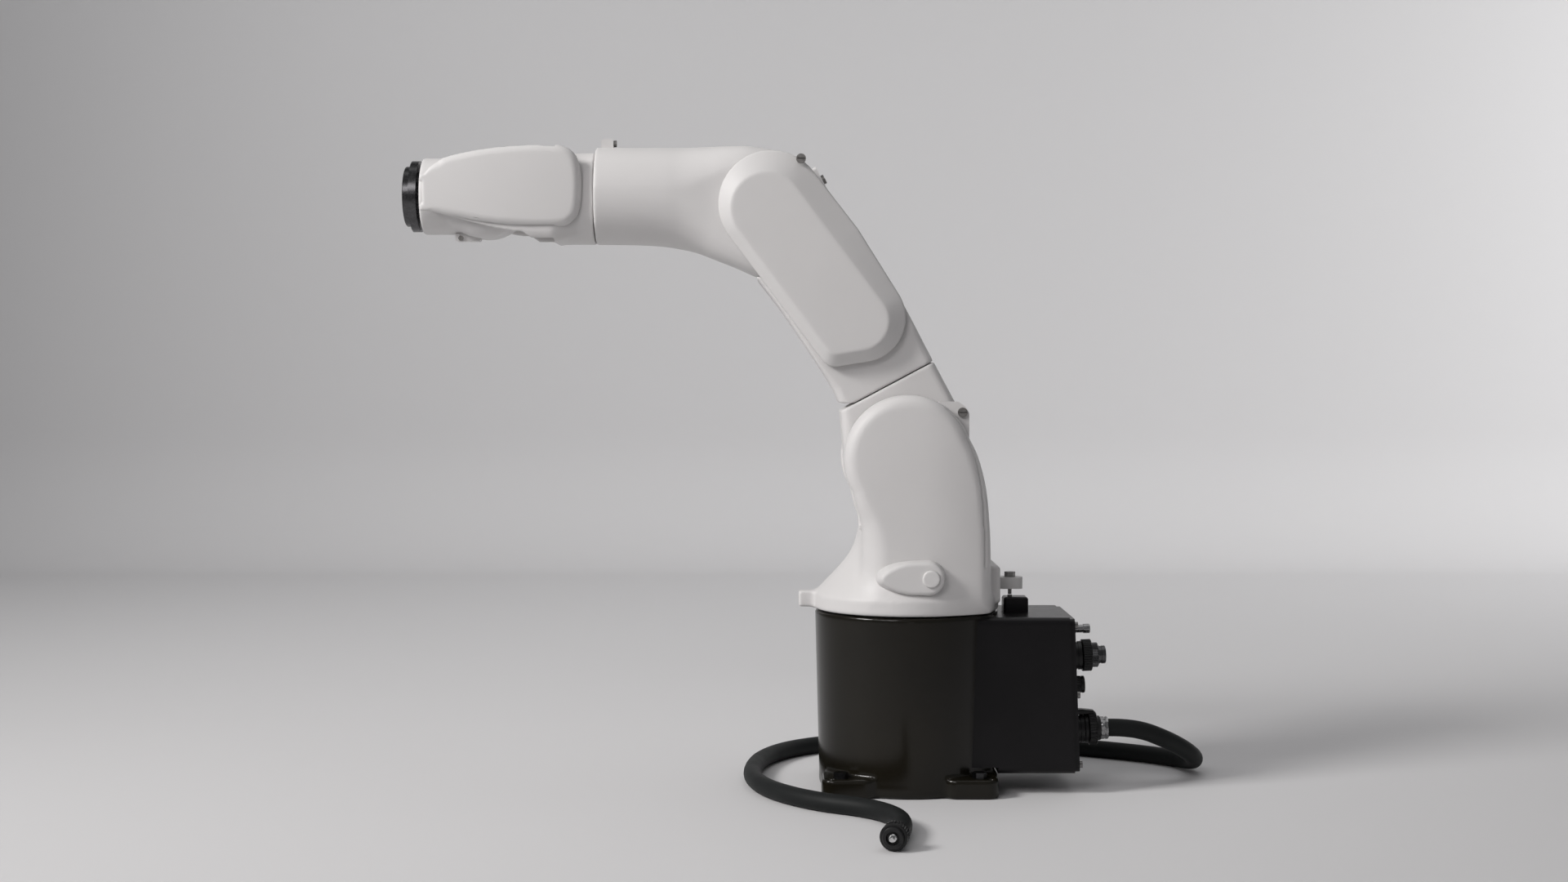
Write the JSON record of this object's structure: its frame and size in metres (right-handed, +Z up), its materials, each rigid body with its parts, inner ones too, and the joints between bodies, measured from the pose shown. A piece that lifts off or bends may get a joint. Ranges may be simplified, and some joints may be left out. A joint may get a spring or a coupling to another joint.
{
  "type": "desktop robot arm",
  "caption": "Compact six-axis robot arm with a black base, rear connector box, white castings and covers, a fork wrist, a black tool flange and a floor cable.",
  "frame": {"origin": "J1 turning axis at the underside of the feet", "axes": "+X forward along the arm's reach, +Y to the arm's left, +Z up"},
  "size_m": [0.8521, 0.5671, 0.681],
  "materials": {
    "white_paint": "cast aluminium with a smooth satin white coat",
    "white_plastic": "moulded covers in the same satin white",
    "black_paint": "gloss black coat over cast metal",
    "black_steel": "black oxide, semi gloss",
    "steel": "plain machined steel",
    "plated_metal": "plated light metal",
    "bare_aluminium": "milled aluminium",
    "motor_case": "satin black motor housings",
    "dark_plastic": "hard dark plastic",
    "cable_jacket": "matt dark jacket",
    "chrome": "bright pin"
  },
  "bodies": {
    "base": {"base_casting": "black_paint", "bottom_plate": "bare_aluminium", "levelling_screws": "black_steel", "connection_box": "black_paint", "connector_panel": "black_paint", "panel_screws": "steel", "motor_connector": "dark_plastic", "motor_connector_ring": "dark_plastic", "motor_connector_cap": "plated_metal", "signal_connector": "dark_plastic", "power_connector": "dark_plastic", "air_fitting": "plated_metal", "power_plug": "dark_plastic", "cable_gland": "plated_metal", "j1_stop_block": "black_paint", "j1_stop_pin": "steel", "j1_motor": "motor_case", "j1_reducer": "steel", "j1_motor_bracket": "bare_aluminium", "cable": "cable_jacket", "cable_connector": "dark_plastic", "cable_connector_pin": "chrome"},
    "turret": {"turret_casting": "white_paint", "turret_cover_left": "white_plastic", "turret_cover_right": "white_plastic", "side_boss_cover": "white_plastic", "boss_plug": "white_plastic", "j1_index_tab": "white_paint", "j1_index_bolt": "steel", "j2_index_lug": "white_paint", "j2_index_screw": "steel", "j2_motor": "motor_case", "j2_reducer": "steel"},
    "upper_arm": {"lower_arm_casting": "white_paint", "arm_joint_screws": "steel", "upper_arm_casting": "white_paint", "arm_cover_left": "white_plastic", "arm_cover_right": "white_plastic", "j3_index_screw": "steel"},
    "forearm": {"forearm_casting": "white_paint", "j3_motor": "motor_case", "j3_reducer": "steel", "j3_stop_lug": "white_paint", "j3_stop_screw": "steel", "j4_motor": "motor_case", "j4_reducer": "steel", "j4_index_lug": "white_paint", "j4_index_screw": "steel"},
    "wrist": {"wrist_fork_casting": "white_paint", "wrist_cover_left": "white_plastic", "wrist_cover_right": "white_plastic", "j5_motor": "motor_case", "j5_reducer": "steel"},
    "head": {"head_casting": "white_paint", "j6_motor": "motor_case", "j6_reducer": "steel", "j5_index_lug": "white_paint", "j5_index_screw": "steel"},
    "flange": {"tool_flange": "black_steel", "flange_screws": "steel"}
  },
  "joints": [
    {"name": "j1_turn", "type": "hinge", "parent": "base", "child": "turret", "pos_m": [0, 0, 0.187], "axis": [0, 0, 1], "range_deg": [-165, 165]},
    {"name": "j2_shoulder", "type": "hinge", "parent": "turret", "child": "upper_arm", "pos_m": [0, 0, 0.346], "axis": [0, 1, 0], "range_deg": [-85, 90]},
    {"name": "j3_elbow", "type": "hinge", "parent": "upper_arm", "child": "forearm", "pos_m": [0.14084, 0, 0.61088], "axis": [0, -1, 0], "range_deg": [-20, 135]},
    {"name": "j4_forearm_roll", "type": "hinge", "parent": "forearm", "child": "wrist", "pos_m": [0.3269, 0, 0.621], "axis": [1, 0, 0], "range_deg": [-270, 270]},
    {"name": "j5_wrist_bend", "type": "hinge", "parent": "wrist", "child": "head", "pos_m": [0.4425, 0, 0.621], "axis": [0, -1, 0], "range_deg": [-115, 115]},
    {"name": "j6_flange_turn", "type": "hinge", "parent": "head", "child": "flange", "pos_m": [0.51, 0, 0.621], "axis": [1, 0, 0], "range_deg": [-360, 360]}
  ]
}
